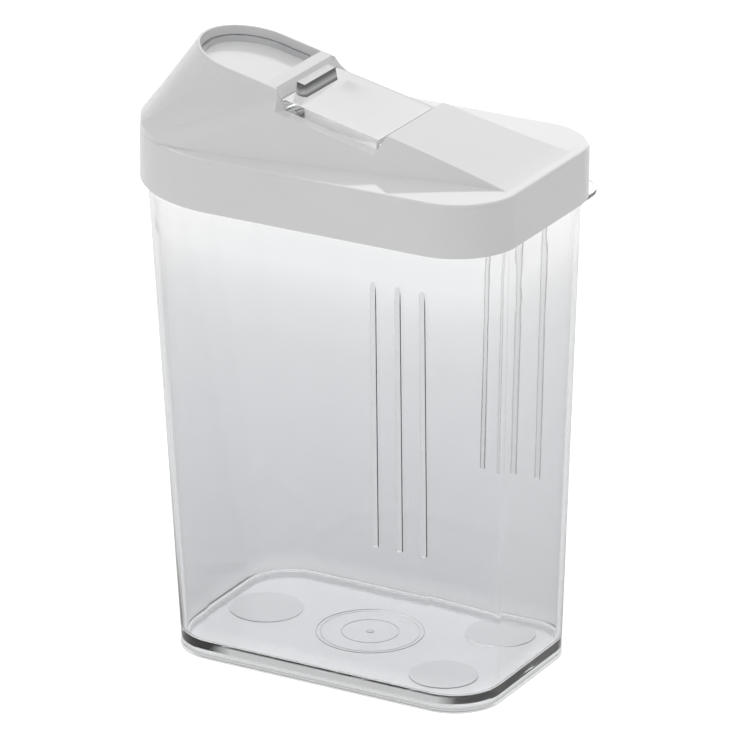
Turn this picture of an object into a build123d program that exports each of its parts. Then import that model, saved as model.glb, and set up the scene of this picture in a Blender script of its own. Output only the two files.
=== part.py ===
"""Cereal container with a see-saw pouring flap, in millimetres.

The origin is the middle of the underside. +X runs to the low end, -X to the pouring end, +Z is up.
"""

import os
from math import asin, cos, hypot, isclose, radians, sin, tan

from build123d import *

os.makedirs("parts", exist_ok=True)

DOWN = (0, 0, -1)

# Container: a tapered tub on a foot ring, with an upright band where the lid goes over it
BASE_LENGTH = 131.9
BASE_WIDTH = 82.3
BASE_CORNER = 19.1
WALL = 1.8
FOOT_HEIGHT = 3.2
FOOT_WALL = 2.2
FOOT_BEAD = 0.36
FOOT_BEAD_HEIGHT = 1.4
FLOOR = 3.1
FLOOR_TOP = FOOT_HEIGHT + FLOOR
FLOOR_EDGE = 1.6
FLOOR_HAUNCH = FLOOR_EDGE * (1 - cos(radians(45)))

# Lid outline and skirt: the pouring end is all but a half circle
LID_LENGTH = 162.7
LID_WIDTH = 99.5
LID_MIDDLE = -9.3
LID_END_FLAT = 0.5
LID_END_RADIUS = (LID_WIDTH - LID_END_FLAT) / 2
LID_CORNER = 24.8
SKIRT_FOOT_Z = 180.0
LID_TOP = 200.1
LID_WALL = 1.8
LID_EDGE = 1.6
SKIRT_EDGE = 0.5
SKIRT_GAP = 0.96
CEILING = LID_TOP - LID_WALL
RIM_INSET = LID_WALL + SKIRT_GAP
LID_LEFT = LID_MIDDLE - LID_LENGTH / 2
LID_RIGHT = LID_MIDDLE + LID_LENGTH / 2

# Sealing ring that drops inside the container rim
RING_CLEARANCE = 0.4
RING_WALL = 1.2
RING_DEPTH = 6.0
RING_REACH = 20.0
RING_OUT = RIM_INSET + WALL + RING_CLEARANCE

# Ridge: the sloping plane that carries the spout, the bridge and the ramp
FALL = 0.22
SPOUT_MARGIN = 41.15
SPOUT_X = LID_LEFT + SPOUT_MARGIN
SPOUT_TO_BRIDGE = 18.0
BRIDGE_X = SPOUT_X + SPOUT_TO_BRIDGE
BRIDGE_Z = 221.8
STRETCH = hypot(1, FALL)
ridge = Plane(origin=(BRIDGE_X, 0, BRIDGE_Z), x_dir=(1, 0, -FALL), z_dir=(FALL, 0, 1))


def run(x):
    """Distance along the ridge plane for a plan position."""
    return (x - BRIDGE_X) * STRETCH


def ridge_z(x):
    """Height of the ridge plane at a plan position."""
    return BRIDGE_Z - FALL * (x - BRIDGE_X)


def ridge_at(drop):
    """The ridge plane lowered straight down."""
    return Plane(
        origin=(BRIDGE_X, 0, BRIDGE_Z - drop), x_dir=(1, 0, -FALL), z_dir=(FALL, 0, 1)
    )


# Root of the hood: a second, flatter plane that sinks into the lid towards the low end
ROOT_FALL = 0.07
ROOT_X = LID_LEFT + LID_END_RADIUS
ROOT_RISE = 2.9
ROOT_Z = LID_TOP + ROOT_RISE - ROOT_FALL * LID_END_RADIUS
ROOT_DEPTH = 8.0
root = Plane(origin=(ROOT_X, 0, ROOT_Z), x_dir=(1, 0, -ROOT_FALL), z_dir=(ROOT_FALL, 0, 1))

# Hood outline at its root, drawn about the centre of the round end
HOOD_SINK = 0.1
HOOD_END_ANGLE = 50.0
HOOD_BLEND = 22.8
HOOD_TAPER = 5.5
HOOD_LOW_MARGIN = 2.55
HOOD_LOW_END = LID_RIGHT - HOOD_LOW_MARGIN
HOOD_LOW_HALF = 28.4

# Hood outline at the ridge
SPOUT_RADIUS = 21.9
RAMP_HALF = 21.6
RAMP_X = 17.0
RAMP_FLARE = 25.2
HOOD_SIDE_WALL = 2.35
HOOD_TOP_INSET = 0.9
HOOD_TOP_WALL = 1.84

# Well: the long collar that hangs from the ridge round spout and lever
WELL_RADIUS = 20.6
WELL_HALF = 20.5
WELL_WALL = 1.5
WELL_DEPTH = 9.4
WELL_END = 14.6
SEAT_DEPTH = 7.25
SEAT_WIDTH = 2.6

RIDGE_BEVEL = 0.5

# Bridge over the hinge
BRIDGE_LEFT = BRIDGE_X - 2.25
BRIDGE_RIGHT = BRIDGE_X + 2.15
BRIDGE_FOOT = BRIDGE_X + 4.75
BRIDGE_THICK = 3.0

# Notch that frees the lever at both sides
NOTCH_LEFT = BRIDGE_X + 3.0
NOTCH_FLOOR = 6.3
NOTCH_VALLEY = 7.2
NOTCH_VALLEY_HALF = 27.0
NOTCH_LEAN = 0.36
NOTCH_LINER = 1.5
NOTCH_ABOVE = 14.0
NOTCH_REACH = 60.0

# Moulding windows in the collar, one each side of the spout
WINDOW_X = SPOUT_X - 11.7
WINDOW_LENGTH = 4.8
WINDOW_TOP = 3.8
WINDOW_HEIGHT = 2.0
WINDOW_ROUND = 0.6

# Flap: a see-saw on two pins under the bridge
FLAP_GAP = 0.5
FLAP_HALF = WELL_HALF - FLAP_GAP
FLAP_RADIUS = WELL_RADIUS - FLAP_GAP
PLATE = 1.8
PLATE_TOP = SEAT_DEPTH - PLATE
LIP_WALL = 1.2
LIP_HEIGHT = 2.4
LIP_END = BRIDGE_X - 6.3
LEVER_TOP = 3.42
LEVER_END = 13.05
LEVER_WALL = 1.5
LEVER_SKIRT = 5.2
BLOCK_LEFT = BRIDGE_X + 5.05
BLOCK_RIGHT = BRIDGE_X + 13.9
BLOCK_HEIGHT = 4.7
PIN_RADIUS = 1.4
PIN_CLEARANCE = 0.05
PIN_ROOT = 1.0
PIN_REACH = 1.4
PIN_DEPTH = SEAT_DEPTH - PLATE / 2
PIN_Z = BRIDGE_Z - PIN_DEPTH

# Thumb bar on the lever, just behind the bridge
BAR_BACK = BRIDGE_X + 5.3
BAR_TOP_BACK = BRIDGE_X + 5.8
BAR_TOP_FRONT = BRIDGE_X + 9.0
BAR_FRONT = BRIDGE_X + 10.0
BAR_HALF = 12.5
BAR_RISE = 0.9
BAR_BEVEL = 1.2

# Grip ribs on both long sides
RIB_X = (25.5, 35.5, 45.5)
RIB_WIDTH = 2.5
RIB_HEIGHT = 1.2
RIB_CREST = 1.1
RIB_SHOULDER = 0.5
RIB_ROOT = 0.3
RIB_RUN_OUT = 2.0
RIB_BOTTOM = 61.7
RIB_TOP = 165.5

# Corner ear under the skirt
EAR_MARGIN = 1.45
EAR_LENGTH = 30.6
EAR_REACH = 5.75
EAR_DEPTH = 33.5
EAR_THICK = 1.5
EAR_DROP = 0.3
EAR_CORNER = 11.0

# Marks on the floor: two rings round the gate in the middle, and three round pads
RING_RADII = (20.6, 11.1)
RING_MARK_WIDTH = 0.8
GATE_RADIUS = 1.6
MARK_HEIGHT = 0.3
LEFT_PAD_MARGIN = 21.45
LEFT_PAD_X = LEFT_PAD_MARGIN - BASE_LENGTH / 2
LEFT_PAD_RADIUS = 14.0
RIGHT_PAD_MARGIN = 23.45
RIGHT_PAD_X = BASE_LENGTH / 2 - RIGHT_PAD_MARGIN
RIGHT_PAD_EDGE = 19.65
RIGHT_PAD_Y = BASE_WIDTH / 2 - RIGHT_PAD_EDGE
RIGHT_PAD_RADIUS = 12.6


def root_outline(inset):
    """Draw the hood's root outline, taken in all round, about the centre of the round end."""
    end = LID_END_RADIUS - HOOD_SINK - inset
    blend = HOOD_BLEND - inset
    blend_x = -(end - blend) * cos(radians(HOOD_END_ANGLE))
    blend_y = (end - blend) * sin(radians(HOOD_END_ANGLE))
    sweep = 90 + HOOD_TAPER - HOOD_END_ANGLE
    low_x = HOOD_LOW_END - ROOT_X
    low_y = HOOD_LOW_HALF - inset
    middle_x = RAMP_X - ROOT_X
    CenterArc((0, 0), end, 180 - HOOD_END_ANGLE, 2 * HOOD_END_ANGLE)
    far = CenterArc((blend_x, blend_y), blend, 90 - HOOD_TAPER, sweep)
    near = CenterArc((blend_x, -blend_y), blend, 180 + HOOD_END_ANGLE, sweep)
    middle_y = (far @ 0).Y - tan(radians(HOOD_TAPER)) * (middle_x - (far @ 0).X)
    Polyline(far @ 0, (middle_x, middle_y), (low_x, low_y))
    Polyline(near @ 1, (middle_x, -middle_y), (low_x, -low_y))
    Line((low_x, -low_y), (low_x, low_y))


def ridge_outline(inset):
    """Draw the hood's outline on a ridge plane, taken in all round."""
    spout = SPOUT_RADIUS - inset
    half = RAMP_HALF - inset
    flare = RAMP_FLARE - inset
    middle = (run(SPOUT_X), 0)
    ramp = run(RAMP_X)
    tail = run(HOOD_LOW_END)
    CenterArc(middle, spout, 180 - HOOD_END_ANGLE, 2 * HOOD_END_ANGLE)
    CenterArc(middle, spout, 90, 90 - HOOD_END_ANGLE)
    CenterArc(middle, spout, 180 + HOOD_END_ANGLE, 90 - HOOD_END_ANGLE)
    for side in (-1, 1):
        Line((middle[0], side * spout), (ramp, side * half))
        TangentArc((ramp, side * half), (tail, side * flare), tangent=(1, 0))
    Line((tail, -flare), (tail, flare))


with BuildPart() as container:
    # Tapered body from the base outline to the rim outline
    with BuildSketch() as base_outline:
        RectangleRounded(BASE_LENGTH, BASE_WIDTH, BASE_CORNER)
    with BuildSketch(Plane.XY.offset(SKIRT_FOOT_Z)) as rim_outline:
        with Locations((LID_MIDDLE, 0)):
            Rectangle(LID_LENGTH - 2 * RIM_INSET, LID_WIDTH - 2 * RIM_INSET)
        fillet(rim_outline.vertices().group_by(Axis.X)[0], LID_END_RADIUS - RIM_INSET)
        fillet(rim_outline.vertices().group_by(Axis.X)[-1], LID_CORNER - RIM_INSET)
    loft(ruled=True)
    extrude(rim_outline.sketch, amount=CEILING - SKIRT_FOOT_Z)

    # Bead round the very foot
    with BuildSketch():
        RectangleRounded(
            BASE_LENGTH + 2 * FOOT_BEAD, BASE_WIDTH + 2 * FOOT_BEAD, BASE_CORNER + FOOT_BEAD
        )
    extrude(amount=FOOT_BEAD_HEIGHT)

    # Grip ribs: bevelled bars that sink into the wall towards their tops
    side_lean = (LID_WIDTH / 2 - RIM_INSET - BASE_WIDTH / 2) / SKIRT_FOOT_Z
    rib_bottom_y = BASE_WIDTH / 2 + side_lean * RIB_BOTTOM
    rib_top_y = BASE_WIDTH / 2 + side_lean * RIB_TOP - RIB_HEIGHT
    rib_length = hypot(RIB_TOP - RIB_BOTTOM, rib_top_y - rib_bottom_y)
    for side in (-1, 1):
        for x in RIB_X:
            foot = Plane(
                origin=(x, side * rib_bottom_y, RIB_BOTTOM),
                x_dir=(1, 0, 0),
                z_dir=(0, side * (rib_top_y - rib_bottom_y), RIB_TOP - RIB_BOTTOM),
            )
            with BuildSketch(foot):
                Polygon(
                    (-RIB_WIDTH / 2, -side * RIB_ROOT),
                    (-RIB_WIDTH / 2, side * RIB_SHOULDER),
                    (-RIB_CREST / 2, side * RIB_HEIGHT),
                    (RIB_CREST / 2, side * RIB_HEIGHT),
                    (RIB_WIDTH / 2, side * RIB_SHOULDER),
                    (RIB_WIDTH / 2, -side * RIB_ROOT),
                    align=None,
                )
            extrude(amount=rib_length + RIB_RUN_OUT)

    # Corner ear
    with BuildSketch(Plane.XY.offset(SKIRT_FOOT_Z - EAR_DROP)) as ear_outline:
        with Locations((LID_RIGHT - EAR_MARGIN, LID_WIDTH / 2 + EAR_REACH)):
            Rectangle(EAR_LENGTH, EAR_DEPTH, align=(Align.MAX, Align.MAX))
        fillet(ear_outline.vertices().group_by(Axis.Y)[-1], EAR_CORNER)
    extrude(amount=-EAR_THICK)

    # Inside of the tub, its floor edge rounded in two steps
    for rise, inset in (
        (0, WALL + FLOOR_EDGE),
        (FLOOR_HAUNCH, WALL + FLOOR_HAUNCH),
        (FLOOR_EDGE, WALL),
    ):
        with BuildSketch(Plane.XY.offset(FLOOR_TOP + rise)):
            RectangleRounded(
                BASE_LENGTH - 2 * inset, BASE_WIDTH - 2 * inset, BASE_CORNER - inset
            )
    with BuildSketch(Plane.XY.offset(SKIRT_FOOT_Z)) as mouth_outline:
        with Locations((LID_MIDDLE, 0)):
            Rectangle(
                LID_LENGTH - 2 * (RIM_INSET + WALL), LID_WIDTH - 2 * (RIM_INSET + WALL)
            )
        fillet(
            mouth_outline.vertices().group_by(Axis.X)[0], LID_END_RADIUS - RIM_INSET - WALL
        )
        fillet(mouth_outline.vertices().group_by(Axis.X)[-1], LID_CORNER - RIM_INSET - WALL)
    loft(ruled=True, mode=Mode.SUBTRACT)
    extrude(mouth_outline.sketch, amount=CEILING - SKIRT_FOOT_Z, mode=Mode.SUBTRACT)

    # Recess under the floor inside the foot ring
    with BuildSketch():
        RectangleRounded(
            BASE_LENGTH - 2 * FOOT_WALL, BASE_WIDTH - 2 * FOOT_WALL, BASE_CORNER - FOOT_WALL
        )
    extrude(amount=FOOT_HEIGHT, mode=Mode.SUBTRACT)

    # Raised rings, gate and pads on the floor
    with BuildSketch(Plane.XY.offset(FLOOR_TOP)):
        for radius in RING_RADII:
            Circle(radius)
            Circle(radius - RING_MARK_WIDTH, mode=Mode.SUBTRACT)
        Circle(GATE_RADIUS)
        with Locations((LEFT_PAD_X, 0)):
            Circle(LEFT_PAD_RADIUS)
        with Locations((RIGHT_PAD_X, -RIGHT_PAD_Y), (RIGHT_PAD_X, RIGHT_PAD_Y)):
            Circle(RIGHT_PAD_RADIUS)
    extrude(amount=MARK_HEIGHT)


with BuildPart() as hollow:
    # Inside of the skirt
    with BuildSketch(Plane.XY.offset(SKIRT_FOOT_Z)) as skirt_inside:
        with Locations((LID_MIDDLE, 0)):
            Rectangle(LID_LENGTH - 2 * LID_WALL, LID_WIDTH - 2 * LID_WALL)
        fillet(skirt_inside.vertices().group_by(Axis.X)[0], LID_END_RADIUS - LID_WALL)
        fillet(skirt_inside.vertices().group_by(Axis.X)[-1], LID_CORNER - LID_WALL)
    extrude(amount=CEILING - SKIRT_FOOT_Z)

    # Inside of the hood
    with BuildSketch(root) as hood_inside_root:
        with BuildLine():
            root_outline(HOOD_SIDE_WALL)
        make_face()
    with BuildSketch(ridge_at(HOOD_TOP_WALL)):
        with BuildLine():
            ridge_outline(HOOD_TOP_INSET)
        make_face()
    loft(ruled=True)
    extrude(hood_inside_root.sketch, amount=ROOT_DEPTH, dir=DOWN)

    # Keep the sealing ring
    with BuildSketch(Plane.XY.offset(CEILING - RING_DEPTH)) as ring_outline:
        with Locations((LID_MIDDLE, 0)):
            Rectangle(LID_LENGTH - 2 * RING_OUT, LID_WIDTH - 2 * RING_OUT)
        fillet(ring_outline.vertices().group_by(Axis.X)[0], LID_END_RADIUS - RING_OUT)
        fillet(ring_outline.vertices().group_by(Axis.X)[-1], LID_CORNER - RING_OUT)
        offset(amount=-RING_WALL, mode=Mode.SUBTRACT)
    extrude(amount=RING_REACH, mode=Mode.SUBTRACT)

    # Keep the collar round spout and lever, and the liner beside the notch
    with BuildSketch(ridge):
        with Locations((run(SPOUT_X), 0)):
            Circle(WELL_RADIUS + WELL_WALL)
        with Locations(((run(SPOUT_X) + run(WELL_END + WELL_WALL)) / 2, 0)):
            Rectangle(
                run(WELL_END + WELL_WALL) - run(SPOUT_X), 2 * (WELL_HALF + WELL_WALL)
            )
    extrude(amount=WELL_DEPTH, dir=DOWN, mode=Mode.SUBTRACT)
    with BuildSketch(ridge):
        with Locations(((run(NOTCH_LEFT) + run(RAMP_X)) / 2, 0)):
            Rectangle(run(RAMP_X) - run(NOTCH_LEFT) + 2 * NOTCH_LINER, 2 * NOTCH_REACH)
    extrude(amount=WELL_DEPTH, dir=DOWN, mode=Mode.SUBTRACT)


with BuildPart() as hood:
    # Straight walls from the root outline up to the ridge, with a bevelled ridge edge
    with BuildSketch(root) as hood_root:
        with BuildLine():
            root_outline(0)
        make_face()
    with BuildSketch(ridge_at(RIDGE_BEVEL)):
        with BuildLine():
            ridge_outline(0)
        make_face()
    with BuildSketch(ridge):
        with BuildLine():
            ridge_outline(RIDGE_BEVEL)
        make_face()
    loft(ruled=True)
    extrude(hood_root.sketch, amount=ROOT_DEPTH, dir=DOWN)


with BuildPart() as lid:
    # Skirt with a rounded top edge
    with BuildSketch(Plane.XY.offset(SKIRT_FOOT_Z)) as skirt_outline:
        with Locations((LID_MIDDLE, 0)):
            Rectangle(LID_LENGTH, LID_WIDTH)
        fillet(skirt_outline.vertices().group_by(Axis.X)[0], LID_END_RADIUS)
        fillet(skirt_outline.vertices().group_by(Axis.X)[-1], LID_CORNER)
    extrude(amount=LID_TOP - SKIRT_FOOT_Z)
    fillet(lid.faces().sort_by(Axis.Z)[-1].edges(), radius=LID_EDGE)
    fillet(lid.faces().sort_by(Axis.Z)[0].edges(), radius=SKIRT_EDGE)

    # Hood standing out of the top
    add(hood.part)

    # Hollow out the shell
    add(hollow.part, mode=Mode.SUBTRACT)

    # Well open from the ridge to the seat, then the spout and lever openings below it
    with BuildSketch(ridge):
        with Locations((run(SPOUT_X), 0)):
            Circle(WELL_RADIUS)
        with Locations(((run(SPOUT_X) + run(WELL_END)) / 2, 0)):
            Rectangle(run(WELL_END) - run(SPOUT_X), 2 * WELL_HALF)
    extrude(amount=SEAT_DEPTH, dir=DOWN, mode=Mode.SUBTRACT)
    with BuildSketch(ridge):
        with Locations((run(SPOUT_X), 0)):
            Circle(WELL_RADIUS - SEAT_WIDTH)
        with Locations(((run(SPOUT_X) + run(BRIDGE_LEFT)) / 2, 0)):
            Rectangle(run(BRIDGE_LEFT) - run(SPOUT_X), 2 * (WELL_HALF - SEAT_WIDTH))
        with Locations(((run(BRIDGE_LEFT) + run(WELL_END)) / 2, 0)):
            Rectangle(run(WELL_END) - run(BRIDGE_LEFT), 2 * WELL_HALF)
    extrude(amount=WELL_DEPTH + WELL_WALL, dir=DOWN, mode=Mode.SUBTRACT)

    # Notch across the ridge: both ends lean, and the floor falls inwards each side
    lean_x = RAMP_X - NOTCH_LEAN * NOTCH_FLOOR
    foot_x = NOTCH_LEFT + NOTCH_LEAN * NOTCH_FLOOR
    with BuildSketch(Plane.XZ):
        Polygon(
            (foot_x, ridge_z(foot_x) - NOTCH_FLOOR),
            (lean_x, ridge_z(lean_x) - NOTCH_FLOOR),
            (RAMP_X, ridge_z(RAMP_X)),
            (RAMP_X + NOTCH_LEAN * NOTCH_ABOVE, ridge_z(RAMP_X) + NOTCH_ABOVE),
            (NOTCH_LEFT - NOTCH_LEAN * NOTCH_ABOVE, ridge_z(NOTCH_LEFT) + NOTCH_ABOVE),
            (NOTCH_LEFT, ridge_z(NOTCH_LEFT)),
            align=None,
        )
    extrude(amount=NOTCH_REACH, both=True, mode=Mode.SUBTRACT)
    cross = Plane(
        origin=(foot_x, 0, ridge_z(foot_x)), x_dir=(0, 1, 0), z_dir=(1, 0, 0)
    )
    with BuildSketch(cross):
        for side in (-1, 1):
            Polygon(
                (side * (WELL_HALF - SEAT_WIDTH), -NOTCH_FLOOR),
                (side * NOTCH_VALLEY_HALF, -NOTCH_FLOOR),
                (side * WELL_HALF, -NOTCH_VALLEY),
                (side * (WELL_HALF - SEAT_WIDTH), -NOTCH_VALLEY),
                align=None,
            )
    extrude(amount=(lean_x - foot_x) * STRETCH, dir=(1, 0, -FALL), mode=Mode.SUBTRACT)

    # Bridge across the well
    with BuildSketch(Plane.XZ):
        Polygon(
            (BRIDGE_LEFT, ridge_z(BRIDGE_LEFT)),
            (BRIDGE_RIGHT, ridge_z(BRIDGE_RIGHT)),
            (BRIDGE_FOOT, ridge_z(BRIDGE_FOOT) - BRIDGE_THICK),
            (BRIDGE_LEFT, ridge_z(BRIDGE_LEFT) - BRIDGE_THICK),
            align=None,
        )
    extrude(amount=WELL_HALF + WELL_WALL / 2, both=True)

    # Pin holes through the collar
    for side in (-1, 1):
        face = Plane(
            origin=(BRIDGE_X, side * WELL_HALF, PIN_Z), x_dir=(1, 0, 0), z_dir=(0, side, 0)
        )
        with BuildSketch(face):
            Circle(PIN_RADIUS + PIN_CLEARANCE)
        extrude(amount=WELL_WALL, mode=Mode.SUBTRACT)

    # Moulding windows through the collar
    window_dx = WINDOW_X - SPOUT_X
    window_dy = WELL_RADIUS * cos(asin(window_dx / WELL_RADIUS))
    window_z = ridge_z(WINDOW_X) - WINDOW_TOP - WINDOW_HEIGHT / 2
    for side in (-1, 1):
        face = Plane(
            origin=(WINDOW_X, side * window_dy, window_z),
            x_dir=(-side * window_dy, window_dx, 0),
            z_dir=(window_dx, side * window_dy, 0),
        )
        with BuildSketch(face):
            RectangleRounded(WINDOW_LENGTH, WINDOW_HEIGHT, WINDOW_ROUND)
        extrude(amount=WELL_WALL, mode=Mode.SUBTRACT)


with BuildPart() as flap:
    # Spout plate, carried on under the bridge to the hinge block
    with BuildSketch(ridge_at(PLATE_TOP)) as plate_outline:
        with Locations((run(SPOUT_X), 0)):
            Circle(FLAP_RADIUS)
        with Locations(((run(SPOUT_X) + run(BLOCK_LEFT)) / 2, 0)):
            Rectangle(run(BLOCK_LEFT) - run(SPOUT_X), 2 * FLAP_HALF)
    extrude(amount=PLATE, dir=DOWN)

    # Upstanding lip round the spout plate
    with BuildSketch(ridge_at(PLATE_TOP - LIP_HEIGHT)):
        with Locations((run(SPOUT_X), 0)):
            Circle(FLAP_RADIUS)
        with Locations(((run(SPOUT_X) + run(LIP_END)) / 2, 0)):
            Rectangle(run(LIP_END) - run(SPOUT_X), 2 * FLAP_HALF)
        with Locations((run(SPOUT_X), 0)):
            Circle(FLAP_RADIUS - LIP_WALL, mode=Mode.SUBTRACT)
        with Locations(((run(SPOUT_X) + run(BLOCK_LEFT)) / 2, 0)):
            Rectangle(
                run(BLOCK_LEFT) - run(SPOUT_X), 2 * (FLAP_HALF - LIP_WALL), mode=Mode.SUBTRACT
            )
    extrude(amount=LIP_HEIGHT, dir=DOWN)

    # Hinge block, solid across the flap
    with BuildSketch(ridge_at(LEVER_TOP)):
        with Locations(((run(BLOCK_LEFT) + run(BLOCK_RIGHT)) / 2, 0)):
            Rectangle(run(BLOCK_RIGHT) - run(BLOCK_LEFT), 2 * FLAP_HALF)
    extrude(amount=BLOCK_HEIGHT, dir=DOWN)

    # Lever: a shallow tray turned upside down
    with BuildSketch(ridge_at(LEVER_TOP)) as lever_outline:
        with Locations(((run(BLOCK_RIGHT) + run(LEVER_END)) / 2, 0)):
            Rectangle(run(LEVER_END) - run(BLOCK_RIGHT), 2 * FLAP_HALF)
    extrude(amount=PLATE, dir=DOWN)
    with BuildSketch(ridge_at(LEVER_TOP)):
        add(lever_outline.sketch_local)
        with Locations(((run(BLOCK_RIGHT) + run(LEVER_END - LEVER_WALL)) / 2, 0)):
            Rectangle(
                run(LEVER_END - LEVER_WALL) - run(BLOCK_RIGHT),
                2 * (FLAP_HALF - LEVER_WALL),
                mode=Mode.SUBTRACT,
            )
    extrude(amount=LEVER_SKIRT, dir=DOWN)

    # Thumb bar with bevelled ends
    with BuildSketch(Plane.XZ):
        Polygon(
            (BAR_BACK, ridge_z(BAR_BACK) - LEVER_TOP - PLATE / 2),
            (BAR_FRONT, ridge_z(BAR_FRONT) - LEVER_TOP - PLATE / 2),
            (BAR_FRONT, ridge_z(BAR_FRONT) - LEVER_TOP),
            (BAR_TOP_FRONT, ridge_z(BAR_TOP_FRONT) + BAR_RISE),
            (BAR_TOP_BACK, ridge_z(BAR_TOP_BACK) + BAR_RISE),
            (BAR_BACK, ridge_z(BAR_BACK) - LEVER_TOP),
            align=None,
        )
    extrude(amount=BAR_HALF, both=True)
    foot_z = ridge_z(BAR_TOP_BACK) - LEVER_TOP
    bar_ends = [
        edge
        for edge in flap.edges()
        if isclose(abs(edge.center().Y), BAR_HALF) and edge.center().Z > foot_z
    ]
    chamfer(bar_ends, BAR_BEVEL)

    # Hinge pins
    for side in (-1, 1):
        face = Plane(
            origin=(BRIDGE_X, side * (FLAP_HALF - PIN_ROOT), PIN_Z),
            x_dir=(1, 0, 0),
            z_dir=(0, side, 0),
        )
        with BuildSketch(face):
            Circle(PIN_RADIUS)
        extrude(amount=PIN_ROOT + FLAP_GAP + PIN_REACH)


for name, built in (("container", container), ("lid", lid), ("flap", flap)):
    built.part.label = name
    export_step(built.part, f"parts/{name}.step")
    print(name, round(built.part.volume), built.part.is_valid, len(built.part.solids()))
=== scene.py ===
import math

import bmesh
import bpy
from mathutils import Euler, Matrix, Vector


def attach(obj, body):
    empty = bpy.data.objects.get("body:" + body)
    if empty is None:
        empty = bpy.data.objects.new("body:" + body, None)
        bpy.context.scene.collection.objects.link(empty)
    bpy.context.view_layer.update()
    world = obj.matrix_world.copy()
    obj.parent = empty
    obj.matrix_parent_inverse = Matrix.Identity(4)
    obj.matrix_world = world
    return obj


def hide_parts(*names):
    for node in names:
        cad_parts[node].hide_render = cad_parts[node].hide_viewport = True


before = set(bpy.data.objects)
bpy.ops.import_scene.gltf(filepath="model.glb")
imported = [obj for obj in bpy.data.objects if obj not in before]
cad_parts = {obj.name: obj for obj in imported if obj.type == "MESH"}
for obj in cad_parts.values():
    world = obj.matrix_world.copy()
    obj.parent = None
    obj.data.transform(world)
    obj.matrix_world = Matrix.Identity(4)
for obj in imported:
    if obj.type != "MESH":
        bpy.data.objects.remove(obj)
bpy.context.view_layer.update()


# ---------------------------------------------------------------- camera

TARGET = Vector((-0.00602, 0.00802, 0.10703))
DISTANCE = 2.5594
AZIMUTH = math.radians(28.923)
ELEVATION = math.radians(21.473)
ROLL = math.radians(0.303)
LENS = 338.75
SENSOR = 36.0


def place_camera():
    """The photograph's viewpoint: a long lens from the near right, looking down a little."""
    data = bpy.data.cameras.new("camera")
    data.lens = LENS
    data.sensor_width = SENSOR
    data.clip_start = 0.1
    data.clip_end = 20.0
    camera = bpy.data.objects.new("camera", data)
    bpy.context.scene.collection.objects.link(camera)
    back = Vector(
        (
            math.sin(AZIMUTH) * math.cos(ELEVATION),
            -math.cos(AZIMUTH) * math.cos(ELEVATION),
            math.sin(ELEVATION),
        )
    )
    camera.location = TARGET + back * DISTANCE
    turn = (-back).to_track_quat("-Z", "Y").to_matrix()
    camera.rotation_euler = (turn @ Euler((0, 0, ROLL)).to_matrix()).to_euler()
    bpy.context.scene.camera = camera


place_camera()
bpy.context.scene.view_settings.view_transform = "Standard"


# ---------------------------------------------------------------- modelling tools

MM = 0.001
CORNER_STEPS = 24
TOUCH = 1e-6


def alone(piece):
    """Make a piece the only one selected, and the active one."""
    bpy.ops.object.select_all(action="DESELECT")
    piece.select_set(True)
    bpy.context.view_layer.objects.active = piece


def settle(piece):
    """Put a piece's place, turn and scale into its mesh."""
    alone(piece)
    bpy.ops.object.transform_apply(location=True, rotation=True, scale=True)


def pick(test):
    """Select in edit mode the vertices that pass a test, and the edges and faces between them."""
    mesh = bmesh.from_edit_mesh(bpy.context.edit_object.data)
    for vertex in mesh.verts:
        vertex.select = test(vertex)
    mesh.select_flush_mode()
    bmesh.update_edit_mesh(bpy.context.edit_object.data)


def is_open(vertex):
    """Whether a vertex lies on an edge that still lacks a face."""
    return any(len(edge.link_faces) < 2 for edge in vertex.link_edges)


def rounded_loop(length, width, left, right, middle, height):
    """A closed loop of edges, in mm: a plane without its face, its left and right corners round."""
    bpy.ops.mesh.primitive_plane_add(size=MM, location=(middle * MM, 0.0, height * MM))
    loop = bpy.context.active_object
    loop.scale = (length, width, 1.0)
    settle(loop)
    bpy.ops.object.mode_set(mode="EDIT")
    for side, radius in ((-1, left), (1, right)):
        end = (middle + side * length / 2) * MM
        pick(lambda v: abs(v.co.x - end) < TOUCH)
        bpy.ops.mesh.bevel(
            offset=radius * MM, segments=CORNER_STEPS, affect="VERTICES", clamp_overlap=False
        )
    pick(lambda v: True)
    bpy.ops.mesh.delete(type="ONLY_FACE")
    bpy.ops.object.mode_set(mode="OBJECT")
    return loop


def skin(name, loops):
    """A closed skin over a row of rounded loops, the first one the lowest."""
    foot = loops[0][-1] * MM + TOUCH
    shell = None
    for outline in loops:
        loop = rounded_loop(*outline)
        if shell is None:
            shell = loop
            shell.name = shell.data.name = name
            continue
        first = not shell.data.polygons
        shell.select_set(True)
        bpy.context.view_layer.objects.active = shell
        bpy.ops.object.join()
        bpy.ops.object.mode_set(mode="EDIT")
        pick(lambda v: is_open(v) and (first or v.co.z > foot))
        bpy.ops.mesh.bridge_edge_loops()
        bpy.ops.object.mode_set(mode="OBJECT")
    bpy.ops.object.mode_set(mode="EDIT")
    for low in (True, False):
        pick(lambda v: is_open(v) and (v.co.z < foot) == low)
        bpy.ops.mesh.edge_face_add()
    bpy.ops.mesh.select_all(action="SELECT")
    bpy.ops.mesh.normals_make_consistent(inside=False)
    bpy.ops.object.mode_set(mode="OBJECT")
    return shell


def finish_with(piece, kind, **settings):
    """Add one modifier to a piece and apply it."""
    alone(piece)
    bpy.ops.object.modifier_add(type=kind)
    modifier = piece.modifiers[-1]
    for name, value in settings.items():
        setattr(modifier, name, value)
    bpy.ops.object.modifier_apply(modifier=modifier.name)


def combine(piece, operation, others):
    """Weld other closed forms to a piece, or cut them out of it, and take them away."""
    for other in others:
        finish_with(piece, "BOOLEAN", operation=operation, solver="EXACT", object=other)
        bpy.data.objects.remove(other)


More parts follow.
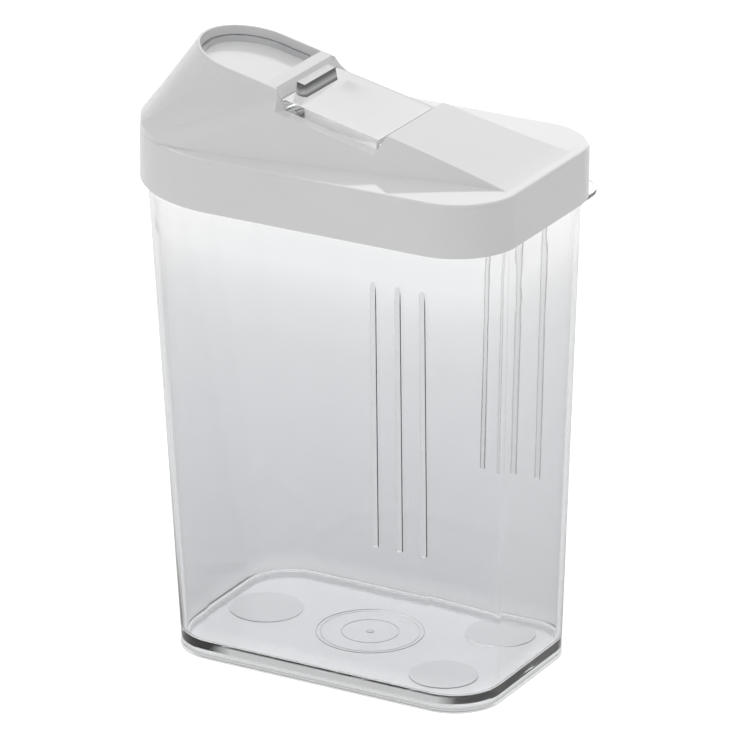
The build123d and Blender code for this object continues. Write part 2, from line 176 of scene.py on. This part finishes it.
def smooth(piece, degrees):
    """Round the shading of curved walls, keep it flat on flat ones, and keep edges crisp."""
    alone(piece)
    bpy.ops.object.shade_smooth_by_angle(angle=math.radians(degrees))
    finish_with(piece, "WEIGHTED_NORMAL", keep_sharp=True)


# ---------------------------------------------------------------- tub, in mm

# Length, width, left and right corner radius, and middle of the two outlines
BASE = (131.9, 82.3, 19.1, 19.1, 0.0)
RIM = (157.18, 93.98, 46.74, 22.04, -9.3)
FLOOR_TOP = 6.3
SKIRT_FOOT = 180.0
RIM_TOP = 198.3
WALL = 1.8
WALL_LEAN = (RIM[1] - BASE[1]) / 2 / SKIRT_FOOT

# Bead round the foot: how far it stands out of the base outline, and the height
FOOT_BEAD = ((0.0, 0.0), (0.25, 0.1), (0.36, 0.4), (0.36, 1.0), (0.25, 1.3), (0.04, 1.4))

# Recess under the floor: how far it stays inside the base outline, and the height
RECESS = ((2.2, -1.0), (2.2, 2.9), (2.5, 3.2))

# Radius of the edge round the floor inside, and how far the cut goes past the rim
FLOOR_EDGE = 1.6
PAST_RIM = 2.0

RIB_RADIUS = 1.25
RIB_FLATNESS = 0.72
RIB_PROUD = 0.05
RIB_FOOT = 61.7
RIB_LENGTH = 95.0
RIB_PLACES = (25.5, 35.5, 45.5)
TIP_STEPS = 6
TIP_STEP = 1.5
TIP_SINK = 0.98

EAR_MIDDLE = (54.4, 37.6, 178.95)
EAR_SIZE = (29.6, 31.2, 1.5)
EAR_CORNER = 14.0

# Past this place only the ear's outer end is left
EAR_OUTER = 50.0

# Rings: radius and how proud. Marks: across, along and radius; the first one is the gate.
RINGS = ((20.2, 0.16), (18.6, 0.1), (10.7, 0.12))
MARKS = ((0.0, 0.0, 1.6), (-44.5, 0.0, 14.0), (42.5, -21.5, 12.6), (42.5, 21.5, 12.6))
MARK_PROUD = 0.3


def inset(outline, by, height):
    """A loop taken in all round by a distance, at a height."""
    length, width, left, right, middle = outline
    return (length - 2 * by, width - 2 * by, left - by, right - by, middle, height)


def tub_outside():
    """The tapered body on its rounded foot bead."""
    bead = [inset(BASE, -out, height) for out, height in FOOT_BEAD]
    return skin("tub", (*bead, inset(RIM, 0.0, SKIRT_FOOT), inset(RIM, 0.0, RIM_TOP)))


def tub_inside():
    """The room inside, with a rounded edge round its floor."""
    edge = [
        inset(
            BASE,
            WALL + FLOOR_EDGE * (1 - math.sin(math.radians(turn))),
            FLOOR_TOP + FLOOR_EDGE * (1 - math.cos(math.radians(turn))),
        )
        for turn in (0, 18, 36, 54, 72, 90)
    ]
    above = inset(RIM, WALL, RIM_TOP + PAST_RIM)
    return skin("room", (*edge, inset(RIM, WALL, SKIRT_FOOT), above))


def foot_recess():
    """The recess under the floor, inside the foot ring."""
    return skin("recess", [inset(BASE, by, height) for by, height in RECESS])


def grip_ribs():
    """Six half-round ribs on the broad walls, each with a flat foot and a tip that sinks in."""
    bpy.ops.object.select_all(action="DESELECT")
    bpy.ops.mesh.primitive_cylinder_add(
        vertices=24,
        radius=RIB_RADIUS * MM,
        depth=RIB_LENGTH * MM,
        location=(0, RIB_PROUD * MM, RIB_LENGTH / 2 * MM),
    )
    rib = bpy.context.active_object
    rib.scale = (1.0, RIB_FLATNESS, 1.0)
    settle(rib)
    bpy.ops.object.mode_set(mode="EDIT")
    pick(lambda v: v.co.z > RIB_LENGTH / 2 * MM)
    sunk = 0.0
    for step in range(1, TIP_STEPS + 1):
        fall = TIP_SINK * (1 - math.sqrt(1 - (step / TIP_STEPS) ** 2))
        bpy.ops.mesh.extrude_region_move(
            TRANSFORM_OT_translate={"value": (0, (fall - sunk) * MM, TIP_STEP * MM)}
        )
        sunk = fall
    bpy.ops.object.mode_set(mode="OBJECT")
    out = BASE[1] / 2 + WALL_LEAN * RIB_FOOT
    ribs = []
    for side in (-1, 1):
        for across in RIB_PLACES:
            bar = rib.copy()
            bar.data = rib.data.copy()
            bpy.context.scene.collection.objects.link(bar)
            bar.location = (across * MM, side * out * MM, RIB_FOOT * MM)
            bar.rotation_euler = (math.atan(WALL_LEAN), 0, math.pi * (side > 0))
            settle(bar)
            ribs.append(bar)
    bpy.data.objects.remove(rib)
    return ribs


def corner_ear():
    """The thin lifting ear under the skirt at the far right corner."""
    bpy.ops.object.select_all(action="DESELECT")
    bpy.ops.mesh.primitive_cube_add(size=1.0, location=[at * MM for at in EAR_MIDDLE])
    ear = bpy.context.active_object
    ear.scale = [size * MM for size in EAR_SIZE]
    settle(ear)
    bpy.ops.object.mode_set(mode="EDIT")
    bpy.context.tool_settings.mesh_select_mode = (False, True, False)
    mesh = bmesh.from_edit_mesh(ear.data)
    for edge in mesh.edges:
        ends = [vertex.co for vertex in edge.verts]
        outer = all(at.y > EAR_OUTER * MM for at in ends)
        edge.select = outer and ends[0].x == ends[1].x
    mesh.select_flush_mode()
    bpy.ops.mesh.bevel(offset=EAR_CORNER * MM, segments=16, affect="EDGES")
    bpy.context.tool_settings.mesh_select_mode = (True, False, False)
    bpy.ops.object.mode_set(mode="OBJECT")
    finish_with(ear, "BEVEL", width=0.3 * MM, segments=2)
    return ear


def floor_marks():
    """Moulding marks on the floor: rings round the gate, the gate, and three round pads."""
    marks = []
    for radius, proud in RINGS:
        bpy.ops.mesh.primitive_torus_add(
            location=(0, 0, FLOOR_TOP * MM),
            major_segments=96,
            minor_segments=12,
            major_radius=radius * MM,
            minor_radius=proud * MM,
        )
        settle(bpy.context.active_object)
        marks.append(bpy.context.active_object)
    for across, along, radius in MARKS:
        bpy.ops.mesh.primitive_cylinder_add(
            vertices=64,
            radius=radius * MM,
            depth=2 * MARK_PROUD * MM,
            location=(across * MM, along * MM, FLOOR_TOP * MM),
        )
        mark = bpy.context.active_object
        settle(mark)
        finish_with(mark, "BEVEL", width=0.2 * MM, segments=2)
        marks.append(mark)
    return marks


def make_tub():
    tub = tub_outside()
    combine(tub, "UNION", [*grip_ribs(), corner_ear()])
    combine(tub, "DIFFERENCE", [tub_inside(), foot_recess()])
    combine(tub, "UNION", floor_marks())
    smooth(tub, degrees=30)
    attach(tub, "container")
    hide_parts("container")
    return tub


# ---------------------------------------------------------------- lid and flap

# Points nearer than WELD mm are one, and the angles are in degrees
WELD = 0.002
FLAT_WITHIN = 1.0
SHARP_FROM = 35


def soften(node, name, radius):
    """A copy of a moulding with the small radius that its tool leaves on every edge."""
    piece = bpy.data.objects.new(name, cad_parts[node].data.copy())
    bpy.context.scene.collection.objects.link(piece)
    alone(piece)
    bpy.ops.mesh.customdata_custom_splitnormals_clear()
    bpy.ops.object.mode_set(mode="EDIT")
    bpy.ops.mesh.select_all(action="SELECT")
    bpy.ops.mesh.remove_doubles(threshold=WELD * MM)
    bpy.ops.mesh.dissolve_limited(angle_limit=math.radians(FLAT_WITHIN))
    bpy.ops.object.mode_set(mode="OBJECT")
    finish_with(
        piece,
        "BEVEL",
        width=radius * MM,
        segments=2,
        limit_method="ANGLE",
        angle_limit=math.radians(SHARP_FROM),
    )
    smooth(piece, SHARP_FROM)
    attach(piece, node)
    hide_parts(node)
    return piece


def divide(piece, across):
    """A loop of edges right round a piece, so that its two parts can differ in finish."""
    alone(piece)
    bpy.ops.object.mode_set(mode="EDIT")
    bpy.ops.mesh.select_all(action="SELECT")
    bpy.ops.mesh.bisect(plane_co=(across * MM, 0, 0), plane_no=(1, 0, 0))
    bpy.ops.object.mode_set(mode="OBJECT")


# ---------------------------------------------------------------- node tools


def linear(code):
    """An sRGB hex colour as a linear RGBA tuple."""
    parts = [int(code[i : i + 2], 16) / 255 for i in (1, 3, 5)]
    lit = [p / 12.92 if p <= 0.04045 else ((p + 0.055) / 1.055) ** 2.4 for p in parts]
    return (*lit, 1.0)


def add_node(tree, kind, settings=None, values=None, links=None):
    """Add one node: its settings, its socket values, and links into its sockets."""
    node = tree.nodes.new(kind)
    for name, value in (settings or {}).items():
        setattr(node, name, value)
    for name, value in (values or {}).items():
        node.inputs[name].default_value = value
    for name, socket in (links or {}).items():
        tree.links.new(socket, node.inputs[name])
    return node


def new_material(name):
    """An empty node material and its output node."""
    material = bpy.data.materials.new(name)
    material.use_nodes = True
    tree = material.node_tree
    tree.nodes.clear()
    return material, tree, add_node(tree, "ShaderNodeOutputMaterial")


# ---------------------------------------------------------------- materials

# Painted shade and light on the clear tub by height, in metres: painted shade darkest in the foot
# bead, partly standing for the most plastic the eye looks through there, even over the walls, and
# painted light almost white up under the rim.
TUB_PAINTED_SHADE_AND_LIGHT = (
    (0.0, "#9FA0A1"),
    (0.0012, "#B4B5B6"),
    (0.0019, "#DADBDC"),
    (0.0031, "#EFF0F1"),
    (0.007, "#EDEEEF"),
    (0.014, "#DFE0E2"),
    (0.09, "#E5E6E8"),
    (0.135, "#EBECED"),
    (0.152, "#F3F3F3"),
    (0.166, "#FEFEFE"),
)
TUB_TONE_SPAN = 0.2

# Painted reflections on the thick bar: dark and light bands along its length, by height, as solid
# clear plastic shows them
BAR_PAINTED_REFLECTIONS = (
    (0.2158, "#4A4B4C"),
    (0.2168, "#5A5B5C"),
    (0.2176, "#D0D1D2"),
    (0.2184, "#C0C1C2"),
    (0.2192, "#6C6D6E"),
    (0.2202, "#3C3D3E"),
    (0.2210, "#4A4B4C"),
)
FLAP_TONE_SPAN = 0.25

# Painted shade that deepens where the eye meets a wall at a slant, partly standing for the longer
# path through plastic there
SLANT_PAINTED_SHADE = "#A2A3A4"

# Where painted light covers the floor slab's front edge, in mm: the start and end of each fade
FRONT_SLAB_PAINTED_LIGHT = (
    ("X", -45, -37),
    ("X", 58, 50),
    ("Y", -38, -39.5),
    ("Z", 2.8, 3.4),
    ("Z", 6.8, 6.2),
)

# Flow waves of the two mouldings: their length and depth in mm
CLEAR_WAVE = 16.667
CLEAR_WAVE_DEPTH = 0.4
LID_WAVE = 28.571
LID_WAVE_DEPTH = 0.5

# How strong the clear ones are low down and higher up, and the heights between which they
# grow, in metres
STILL = 0.015
WAVY = 0.5
WAVES_START = 0.135
WAVES_FULL = 0.175


def even(code):
    """The same colour at every height."""
    return ((0.0, code), (TUB_TONE_SPAN, code))


def painted_shading_by_height(tree, height, tones_and_painted_shading, span):
    """The painted shading's colour at a height, blended between the given ones."""
    share = add_node(
        tree,
        "ShaderNodeMath",
        settings={"operation": "DIVIDE"},
        values={1: span},
        links={0: height},
    )
    tone_and_painted_shading = add_node(tree, "ShaderNodeValToRGB", links={"Fac": share.outputs[0]})
    ramp = tone_and_painted_shading.color_ramp
    for stop, (level, code) in ((ramp.elements[0], tones_and_painted_shading[0]), (ramp.elements[-1], tones_and_painted_shading[-1])):
        stop.position = level / span
        stop.color = linear(code)
    for level, code in tones_and_painted_shading[1:-1]:
        ramp.elements.new(level / span).color = linear(code)
    return tone_and_painted_shading.outputs["Color"]


def inside_region(tree, split, region):
    """1 inside a region, 0 outside, with a fade at each of its limits."""
    inside = None
    for axis, start, end in region:
        step = add_node(
            tree,
            "ShaderNodeMapRange",
            values={"From Min": start * MM, "From Max": end * MM},
            links={"Value": split.outputs[axis]},
        ).outputs["Result"]
        if inside is None:
            inside = step
            continue
        inside = add_node(
            tree,
            "ShaderNodeMath",
            settings={"operation": "MULTIPLY"},
            links={0: inside, 1: step},
        ).outputs[0]
    return inside


def clear_san(name, haze, tones_and_painted_shading, roughness=0.02, waves=WAVY, span=TUB_TONE_SPAN, region=()):
    """Injection-moulded SAN, a clear, hard and very smooth plastic.

    That gives sharp reflections and a white background seen through it. Its colour by height
    is painted shade and light, with painted shade that deepens at the edges. Haze is the share
    of light that the faces scatter, and here it mostly paints light and shade into them; where a
    region is given, they scatter it only there.
    """
    material, tree, output = new_material(name)
    place = add_node(tree, "ShaderNodeTexCoord").outputs["Object"]
    split = add_node(tree, "ShaderNodeSeparateXYZ", links={"Vector": place})
    height = split.outputs["Z"]
    slant = add_node(tree, "ShaderNodeLayerWeight", values={"Blend": 0.25})
    slant_shade_share = add_node(
        tree,
        "ShaderNodeMath",
        settings={"operation": "POWER"},
        values={1: 2.0},
        links={0: slant.outputs["Facing"]},
    )
    tone_and_painted_shading = add_node(
        tree,
        "ShaderNodeMix",
        settings={"data_type": "RGBA", "blend_type": "MULTIPLY"},
        values={"B": linear(SLANT_PAINTED_SHADE)},
        links={
            "Factor": slant_shade_share.outputs[0],
            "A": painted_shading_by_height(tree, height, tones_and_painted_shading, span),
        },
    )
    flow = add_node(
        tree,
        "ShaderNodeTexNoise",
        values={"Scale": 1 / (CLEAR_WAVE * MM), "Detail": 1.0, "Roughness": 0.4},
        links={"Vector": place},
    )
    strength = add_node(
        tree,
        "ShaderNodeMapRange",
        values={
            "From Min": WAVES_START,
            "From Max": WAVES_FULL,
            "To Min": STILL,
            "To Max": waves,
        },
        links={"Value": height},
    )
    ripple = add_node(
        tree,
        "ShaderNodeBump",
        values={"Distance": CLEAR_WAVE_DEPTH * MM},
        links={"Height": flow.outputs["Fac"], "Strength": strength.outputs["Result"]},
    )
    body = add_node(
        tree,
        "ShaderNodeBsdfPrincipled",
        values={"Roughness": roughness, "IOR": 1.57, "Transmission Weight": 1.0 - haze},
        links={"Base Color": tone_and_painted_shading.outputs["Result"], "Normal": ripple.outputs["Normal"]},
    )
    if region:
        clear_share = add_node(
            tree,
            "ShaderNodeMath",
            settings={"operation": "MULTIPLY_ADD"},
            values={1: -haze, 2: 1.0},
            links={0: inside_region(tree, split, region)},
        )
        tree.links.new(clear_share.outputs[0], body.inputs["Transmission Weight"])
    # Light from the lamps and from other surfaces passes straight through
    path = add_node(tree, "ShaderNodeLightPath")
    passing = add_node(
        tree,
        "ShaderNodeMath",
        settings={"operation": "MAXIMUM"},
        links={0: path.outputs["Is Shadow Ray"], 1: path.outputs["Is Diffuse Ray"]},
    )
    open_way = add_node(tree, "ShaderNodeBsdfTransparent", values={"Color": linear("#FDFDFD")})
    both = add_node(
        tree,
        "ShaderNodeMixShader",
        links={0: passing.outputs[0], 1: body.outputs["BSDF"], 2: open_way.outputs["BSDF"]},
    )
    tree.links.new(both.outputs["Shader"], output.inputs["Surface"])
    return material


def lid_abs():
    """Injection-moulded ABS in a cool light grey.

    That gives an even, opaque colour with the gloss of a polished tool and very shallow waves.
    """
    material, tree, output = new_material("light_grey_ABS_moulded")
    place = add_node(tree, "ShaderNodeTexCoord").outputs["Object"]
    flow = add_node(
        tree,
        "ShaderNodeTexNoise",
        values={"Scale": 1 / (LID_WAVE * MM), "Detail": 3.0, "Roughness": 0.45},
        links={"Vector": place},
    )
    tint = add_node(
        tree,
        "ShaderNodeMix",
        settings={"data_type": "RGBA"},
        values={"A": linear("#E3E3E4"), "B": linear("#E8E8E9")},
        links={"Factor": flow.outputs["Fac"]},
    )
    ripple = add_node(
        tree,
        "ShaderNodeBump",
        values={"Strength": 0.04, "Distance": LID_WAVE_DEPTH * MM},
        links={"Height": flow.outputs["Fac"]},
    )
    body = add_node(
        tree,
        "ShaderNodeBsdfPrincipled",
        values={"Roughness": 0.06, "IOR": 1.53},
        links={"Base Color": tint.outputs["Result"], "Normal": ripple.outputs["Normal"]},
    )
    tree.links.new(body.outputs["BSDF"], output.inputs["Surface"])
    return material


def paint(piece, material, test=None):
    """Give a piece its material, or only the faces whose centre and normal pass a test."""
    if test is None:
        piece.data.materials.clear()
        piece.data.materials.append(material)
        return
    alone(piece)
    piece.data.materials.append(material)
    piece.active_material_index = len(piece.data.materials) - 1
    bpy.ops.object.mode_set(mode="EDIT")
    bpy.context.tool_settings.mesh_select_mode = (False, False, True)
    bpy.ops.mesh.select_all(action="DESELECT")
    mesh = bmesh.from_edit_mesh(piece.data)
    for face in mesh.faces:
        face.select = test(face.calc_center_median() / MM, face.normal)
    bmesh.update_edit_mesh(piece.data)
    bpy.ops.object.material_slot_assign()
    bpy.context.tool_settings.mesh_select_mode = (True, False, False)
    bpy.ops.object.mode_set(mode="OBJECT")


# ---------------------------------------------------------------- where each finish goes, in mm

# Shares of a face's normal. A face looks straight up or sideways above STRAIGHT. The ear's edge
# has less than its share upwards, a rib's flank has more than its share sideways, and a small
# radius starts at its share.
STRAIGHT = 0.9
EAR_EDGE_SHARE = 0.8
RIB_FLANK_SHARE = 0.7
RADIUS_SHARE = 0.2

# Floor marks, ear and ribs of the tub
MARK_TOP = (6.5, 6.7)
PADS_FROM = 25.0
GATE_WITHIN = 2.0
EAR_HEIGHTS = (178.0, 179.9)
EAR_FROM = 47.2
RIB_HEIGHTS = (61.0, 166.0)
RIB_BAND = (23.5, 47.5)
RIB_FROM_WALL = 0.03

# The lid's ridge plane: its height at a place near the hinge, that place, and its fall
RIDGE = 221.8
RIDGE_PLACE = -31.5
RIDGE_FALL = 0.22

# Parts of the flap along its length, to its sides and below the ridge
SPOUT_SIDE_END = -31.0
BLOCK_START = -27.0
BLOCK_END = -17.6
LEVER_HALF = 19.5
RADIUS_FROM = 19.6
LIP_DEPTH = 2.9
BLOCK_DEPTH = 3.0
PLATE_DEPTH = 3.2


def between(value, limits):
    return limits[0] < value < limits[1]


def below_ridge(at):
    return RIDGE - RIDGE_FALL * (at.x - RIDGE_PLACE) - at.z


def on_mark(at, normal):
    return between(at.z, MARK_TOP) and normal.z > STRAIGHT


def on_pad(at, normal):
    return on_mark(at, normal) and abs(at.x) > PADS_FROM


def on_gate(at, normal):
    return on_mark(at, normal) and abs(at.x) < GATE_WITHIN and abs(at.y) < GATE_WITHIN


def on_ear(at, normal):
    return between(at.z, EAR_HEIGHTS) and at.y > EAR_FROM


def ear_edge(at, normal):
    return on_ear(at, normal) and abs(normal.z) < EAR_EDGE_SHARE


def on_rib(at):
    wall = BASE[1] / 2 + WALL_LEAN * at.z
    proud = abs(at.y) > wall + RIB_FROM_WALL
    return proud and between(at.z, RIB_HEIGHTS) and between(at.x, RIB_BAND)


def rib_body(at, normal):
    return on_rib(at) and abs(normal.x) < RIB_FLANK_SHARE


def rib_left(at, normal):
    return on_rib(at) and normal.x < -RIB_FLANK_SHARE


def rib_right(at, normal):
    return on_rib(at) and normal.x > RIB_FLANK_SHARE


def flap_plate(at, normal):
    """The two broad plates of the flap, seen from above."""
    return below_ridge(at) > PLATE_DEPTH and normal.z > STRAIGHT


def lip_top(at, normal):
    """The top of the lip that stands up round the spout's plate."""
    on_lip = between(below_ridge(at), (LIP_DEPTH, PLATE_DEPTH)) and at.x < SPOUT_SIDE_END
    return on_lip and normal.z > STRAIGHT


def lever_side(at, normal):
    return abs(normal.y) > STRAIGHT and at.x > BLOCK_END and abs(at.y) > LEVER_HALF


def hinge_block(at, normal):
    """The sides of the solid block beside the pins."""
    on_block = between(at.x, (BLOCK_START, BLOCK_END)) and below_ridge(at) > BLOCK_DEPTH
    return on_block and abs(normal.y) > STRAIGHT


def on_bar(at):
    return below_ridge(at) < LIP_DEPTH and at.x > SPOUT_SIDE_END


def bar_flank(at, normal):
    return on_bar(at) and normal.z < STRAIGHT


def bar_top(at, normal):
    return on_bar(at) and normal.z > STRAIGHT


def flap_edge(at, normal):
    """The small radii along the flap's two long sides."""
    on_side = abs(at.y) > RADIUS_FROM and at.x > BLOCK_START
    return on_side and between(abs(normal.y), (RADIUS_SHARE, STRAIGHT))


# Name, haze, colour and roughness of each finish of the tub, most of them painted light and shade,
# and where it goes
TUB_FINISHES_AND_PAINTED_LIGHT = (
    # pads, textured in the tool, are duller and less clear than the floor; the gate is a white
    # spot, a painted highlight
    ("clear_SAN_pads", 0.08, even("#E2E3E4"), 0.16, on_pad),
    ("clear_SAN_gate_painted_highlight", 0.9, even("#FFFFFF"), 0.02, on_gate),
    # the ear is painted hazy and pale, a painted light that shows its shape against the white, and
    # its thick edge darker, a painted shade
    ("clear_SAN_ear", 0.45, even("#ECECED"), 0.02, on_ear),
    ("clear_SAN_ear_edge_painted_shade", 0.6, even("#8A8B8C"), 0.02, ear_edge),
    # a rib is a lens: its pale body is painted light, and the thin grey line and the dark one
    # beside it are painted shade
    ("clear_SAN_rib_body_painted_light", 0.25, even("#ECEDEE"), 0.02, rib_body),
    ("clear_SAN_rib_left_painted_shade", 0.5, even("#A8A9AA"), 0.02, rib_left),
    ("clear_SAN_rib_right_painted_shade", 0.7, even("#5A5B5C"), 0.02, rib_right),
)

# The same for the flap, where every one is painted light and shade
FLAP_PAINTED_LIGHT_AND_SHADE = (
    # the plates are painted pale white, a painted light for the bright ground seen through them,
    # and their gloss is soft
    ("clear_SAN_flap_plates_painted_light", 0.85, even("#FFFFFF"), 0.12, flap_plate),
    # the lip's top is painted as a dark line, a painted shade
    ("clear_SAN_lip_top_painted_shade", 0.6, even("#8C8D8E"), 0.05, lip_top),
    # the lever's sides are painted white, a painted light
    ("clear_SAN_lever_side_painted_light", 0.6, even("#FFFFFF"), 0.05, lever_side),
    # the sides of the solid block are painted dark, a painted shade; the bar's flanks carry painted
    # reflections in bands, and its top a painted highlight
    ("clear_SAN_flap_block_painted_shade", 0.75, even("#808183"), 0.05, hinge_block),
    ("clear_SAN_thumb_bar_painted_reflections", 0.65, BAR_PAINTED_REFLECTIONS, 0.05, bar_flank),
    ("clear_SAN_bar_top_painted_highlight", 0.7, even("#F0F0F1"), 0.05, bar_top),
    # the small radii along the sides are painted as thin dark lines, a painted shade
    ("clear_SAN_flap_edge_painted_shade", 0.6, even("#5F6061"), 0.05, flap_edge),
)

tub = make_tub()
# The tub's grey by height is painted shade and light, and its haze paints light over the floor
# slab's front edge only
paint(tub, clear_san("clear_SAN_tub", 0.9, TUB_PAINTED_SHADE_AND_LIGHT, region=FRONT_SLAB_PAINTED_LIGHT))
for name, haze, tones_and_painted_shading, roughness, test in TUB_FINISHES_AND_PAINTED_LIGHT:
    paint(tub, clear_san(name, haze, tones_and_painted_shading, roughness), test)

flap = soften("flap", "clear_flap", radius=0.2)
divide(flap, BLOCK_END)
paint(flap, clear_san("clear_SAN_flap", 0.05, even("#F4F5F6"), waves=STILL))
for name, haze, tones_and_painted_shading, roughness, test in FLAP_PAINTED_LIGHT_AND_SHADE:
    paint(flap, clear_san(name, haze, tones_and_painted_shading, roughness, STILL, FLAP_TONE_SPAN), test)

lid = soften("lid", "grey_lid", radius=0.3)
paint(lid, lid_abs())


# ---------------------------------------------------------------- stage

TABLE_SIZE = 6.0

# How much of the white backdrop a reflection shows, and how much the sheet glows: to all rays
# that look at it, and so much more to those from the camera
MIRRORED_SHARE = 0.25
LIFT_THROUGH = 0.25
LIFT_STRAIGHT = 0.2

# The room's light from level with the table, and from higher up, by the height of its
# direction, and how much of it is lacking at the far left and the far right
LOW_LIGHT = 1.5
HIGHER_LIGHT = ((0.14, 1.25), (0.42, 0.58), (0.66, 0.62), (0.86, 1.2))
LEFT_LACK = 0.36
RIGHT_LACK = 0.6


def rays_that_look(tree, path):
    """1 for rays that show a backdrop straight or through plastic, and a share of 1 mirrored."""
    straight = add_node(
        tree,
        "ShaderNodeMath",
        settings={"operation": "MAXIMUM"},
        links={0: path.outputs["Is Camera Ray"], 1: path.outputs["Is Transmission Ray"]},
    )
    mirrored = add_node(
        tree,
        "ShaderNodeMath",
        settings={"operation": "MULTIPLY"},
        values={1: MIRRORED_SHARE},
        links={0: path.outputs["Is Glossy Ray"]},
    )
    return add_node(
        tree,
        "ShaderNodeMath",
        settings={"operation": "MAXIMUM"},
        links={0: straight.outputs[0], 1: mirrored.outputs[0]},
    ).outputs[0]


def white_table():
    """A wide matt sheet of white paper to stand on, white to the eye where nothing shades it."""
    bpy.ops.object.select_all(action="DESELECT")
    bpy.ops.mesh.primitive_plane_add(size=TABLE_SIZE, location=(0, 0, 0))
    table = bpy.context.active_object
    table.name = "table"
    material, tree, output = new_material("white_paper_sheet")
    body = add_node(
        tree,
        "ShaderNodeBsdfPrincipled",
        values={"Base Color": linear("#F6F6F6"), "Roughness": 0.9},
    )
    path = add_node(tree, "ShaderNodeLightPath")
    through = add_node(
        tree,
        "ShaderNodeMath",
        settings={"operation": "MULTIPLY"},
        values={1: LIFT_THROUGH},
        links={0: rays_that_look(tree, path)},
    )
    lift = add_node(
        tree,
        "ShaderNodeMath",
        settings={"operation": "MULTIPLY_ADD"},
        values={1: LIFT_STRAIGHT},
        links={0: path.outputs["Is Camera Ray"], 2: through.outputs[0]},
    )
    glow = add_node(
        tree,
        "ShaderNodeEmission",
        values={"Color": linear("#FFFFFF")},
        links={"Strength": lift.outputs[0]},
    )
    both = add_node(
        tree, "ShaderNodeAddShader", links={0: body.outputs["BSDF"], 1: glow.outputs[0]}
    )
    tree.links.new(both.outputs["Shader"], output.inputs["Surface"])
    table.data.materials.append(material)


def soft_lamp(name, place, aim, size, power):
    """A square softbox."""
    data = bpy.data.lights.new(name, "AREA")
    data.shape = "SQUARE"
    data.size = size
    data.energy = power
    lamp = bpy.data.objects.new(name, data)
    bpy.context.scene.collection.objects.link(lamp)
    lamp.location = place
    lamp.rotation_euler = (Vector(aim) - Vector(place)).to_track_quat("-Z", "Y").to_euler()


def studio_world():
    """White to the eye, and on the object a soft light from low down and overhead."""
    world = bpy.data.worlds.new("studio")
    bpy.context.scene.world = world
    world.use_nodes = True
    tree = world.node_tree
    tree.nodes.clear()
    output = add_node(tree, "ShaderNodeOutputWorld")
    path = add_node(tree, "ShaderNodeLightPath")
    way = add_node(tree, "ShaderNodeTexCoord").outputs["Generated"]
    split = add_node(tree, "ShaderNodeSeparateXYZ", links={"Vector": way})
    bands = add_node(tree, "ShaderNodeValToRGB", links={"Fac": split.outputs["Z"]})
    for height, light in HIGHER_LIGHT:
        bands.color_ramp.elements.new(height).color = (light, light, light, 1.0)
    bands.color_ramp.elements[0].color = (LOW_LIGHT, LOW_LIGHT, LOW_LIGHT, 1.0)
    across = split.outputs["X"]
    side = add_node(
        tree,
        "ShaderNodeMapRange",
        values={"From Min": -1.0, "From Max": 1.0, "To Min": LEFT_LACK, "To Max": RIGHT_LACK},
        links={"Value": across},
    )
    amount = add_node(
        tree, "ShaderNodeMath", settings={"operation": "ABSOLUTE"}, links={0: across}
    )
    lack = add_node(
        tree,
        "ShaderNodeMath",
        settings={"operation": "MULTIPLY"},
        links={0: side.outputs["Result"], 1: amount.outputs[0]},
    )
    level = add_node(
        tree,
        "ShaderNodeMath",
        settings={"operation": "SUBTRACT"},
        links={0: bands.outputs["Color"], 1: lack.outputs[0]},
    )
    soft = add_node(
        tree,
        "ShaderNodeBackground",
        values={"Color": linear("#FFFFFF")},
        links={"Strength": level.outputs[0]},
    )
    white = add_node(
        tree,
        "ShaderNodeBackground",
        values={"Color": linear("#FFFFFF"), "Strength": 1.0},
    )
    mixed = add_node(
        tree,
        "ShaderNodeMixShader",
        links={0: rays_that_look(tree, path), 1: soft.outputs[0], 2: white.outputs[0]},
    )
    tree.links.new(mixed.outputs[0], output.inputs["Surface"])


white_table()
soft_lamp("rear_window", place=(-0.78, 1.52, 0.95), aim=(0, 0, 0.1), size=1.8, power=12.5)
studio_world()
